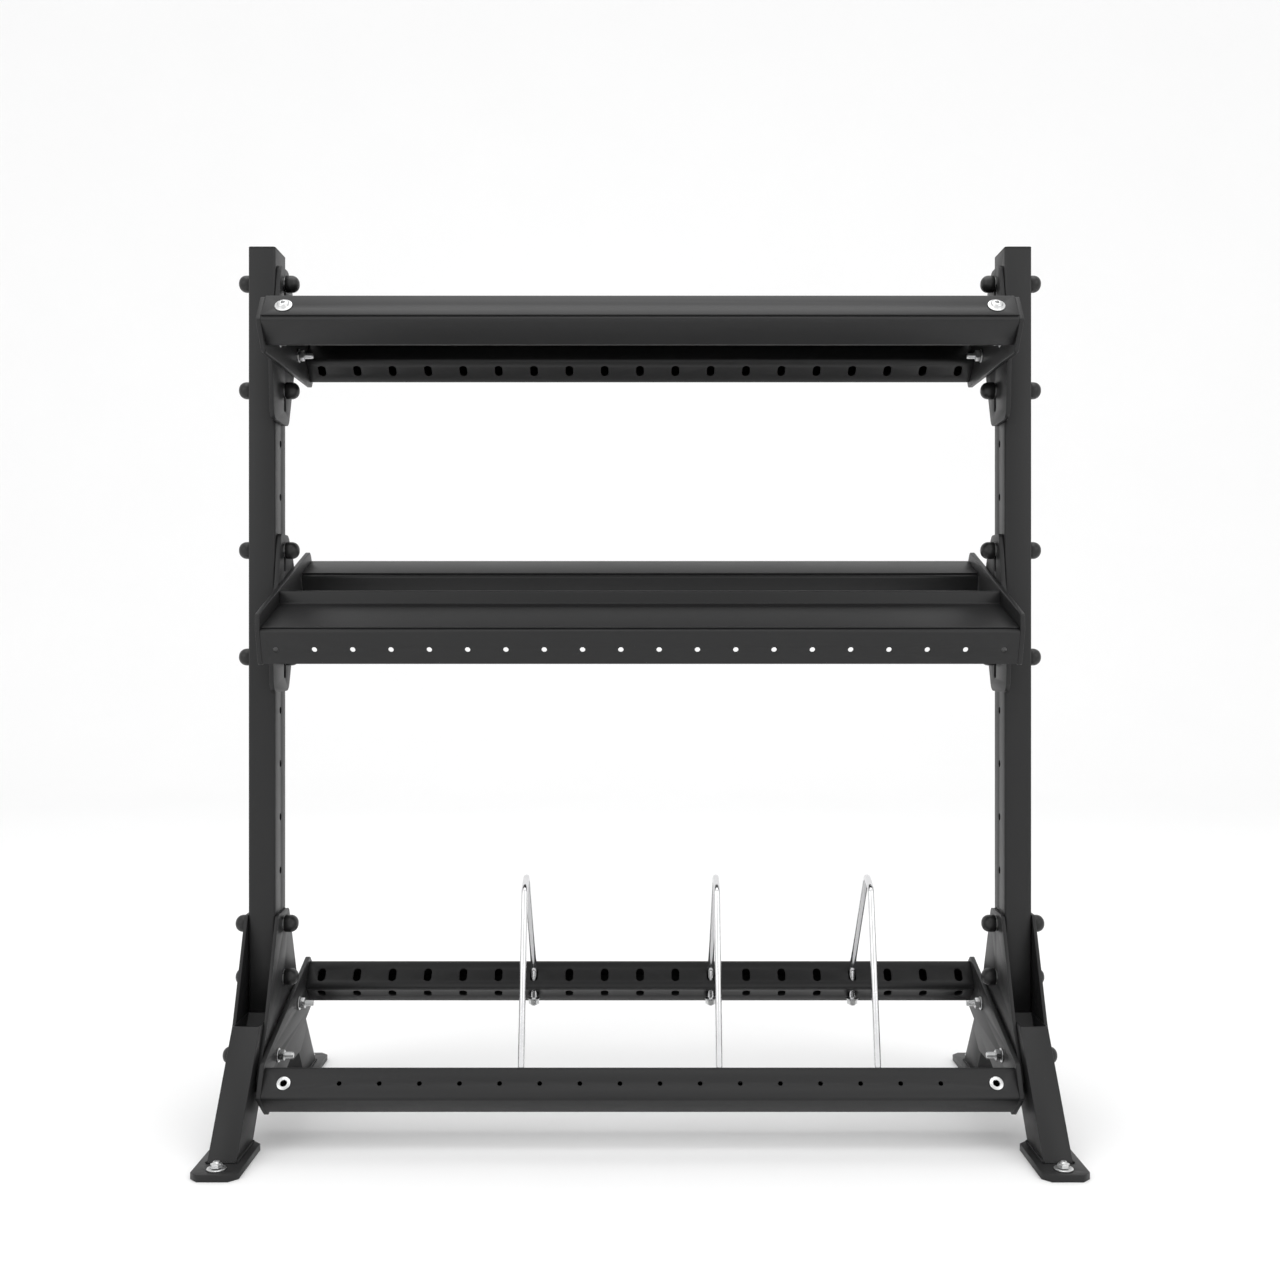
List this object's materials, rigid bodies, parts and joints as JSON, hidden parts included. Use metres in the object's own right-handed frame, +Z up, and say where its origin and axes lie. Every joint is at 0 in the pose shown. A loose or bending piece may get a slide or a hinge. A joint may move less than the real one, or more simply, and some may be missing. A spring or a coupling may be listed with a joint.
{
  "type": "dumbbell rack",
  "caption": "Free-standing steel storage rack with a flat top deck, a tilted two-step tray and a low bay with bent rod dividers between A-frame ends.",
  "frame": {"origin": "on the floor under the middle of the rack", "axes": "+X to the right seen from the front, +Y to the back, +Z up"},
  "size_m": [1.5172, 0.692, 1.6153],
  "materials": {
    "black_coat": "fine satin black powder coat on steel",
    "black_plastic": "moulded black plastic caps",
    "bright_zinc": "bright zinc plated fasteners",
    "chrome_rod": "polished chrome plated rod"
  },
  "bodies": {
    "root": {"base_bolt_1_left": "black_plastic", "base_bolt_1_right": "black_plastic", "base_bolt_2_left": "black_plastic", "base_bolt_2_right": "black_plastic", "deck_bolt_left": "bright_zinc", "deck_bolt_right": "bright_zinc", "divider_left": "chrome_rod", "divider_middle": "chrome_rod", "divider_right": "chrome_rod", "front_anchor_bolt_left": "bright_zinc", "front_anchor_bolt_right": "bright_zinc", "front_foot_left": "black_coat", "front_foot_right": "black_coat", "front_leg_left": "black_coat", "front_leg_right": "black_coat", "inner_gusset_left": "black_coat", "inner_gusset_right": "black_coat", "low_end_plate_left": "black_coat", "low_end_plate_right": "black_coat", "low_front_bolt_left": "bright_zinc", "low_front_bolt_right": "bright_zinc", "low_front_rail": "black_coat", "low_rear_bolt_left": "bright_zinc", "low_rear_bolt_right": "bright_zinc", "low_rear_rail": "black_coat", "mid_bracket_bolt_1_left": "black_plastic", "mid_bracket_bolt_1_right": "black_plastic", "mid_bracket_bolt_2_left": "black_plastic", "mid_bracket_bolt_2_right": "black_plastic", "mid_bracket_left": "black_coat", "mid_bracket_right": "black_coat", "mid_end_plate_left": "black_coat", "mid_end_plate_right": "black_coat", "mid_front_rail": "black_coat", "mid_front_tray": "black_coat", "mid_rear_rail": "black_coat", "mid_rear_tray": "black_coat", "outer_gusset_left": "black_coat", "outer_gusset_right": "black_coat", "rear_anchor_bolt_left": "bright_zinc", "rear_anchor_bolt_right": "bright_zinc", "rear_foot_left": "black_coat", "rear_foot_right": "black_coat", "rear_leg_left": "black_coat", "rear_leg_right": "black_coat", "top_bracket_bolt_1_left": "black_plastic", "top_bracket_bolt_1_right": "black_plastic", "top_bracket_bolt_2_left": "black_plastic", "top_bracket_bolt_2_right": "black_plastic", "top_bracket_left": "black_coat", "top_bracket_right": "black_coat", "top_deck": "black_coat", "top_end_plate_left": "black_coat", "top_end_plate_right": "black_coat", "top_front_rail": "black_coat", "top_rear_rail": "black_coat", "upright_cap_left": "black_plastic", "upright_cap_right": "black_plastic", "upright_left": "black_coat", "upright_right": "black_coat"}
  },
  "joints": []
}
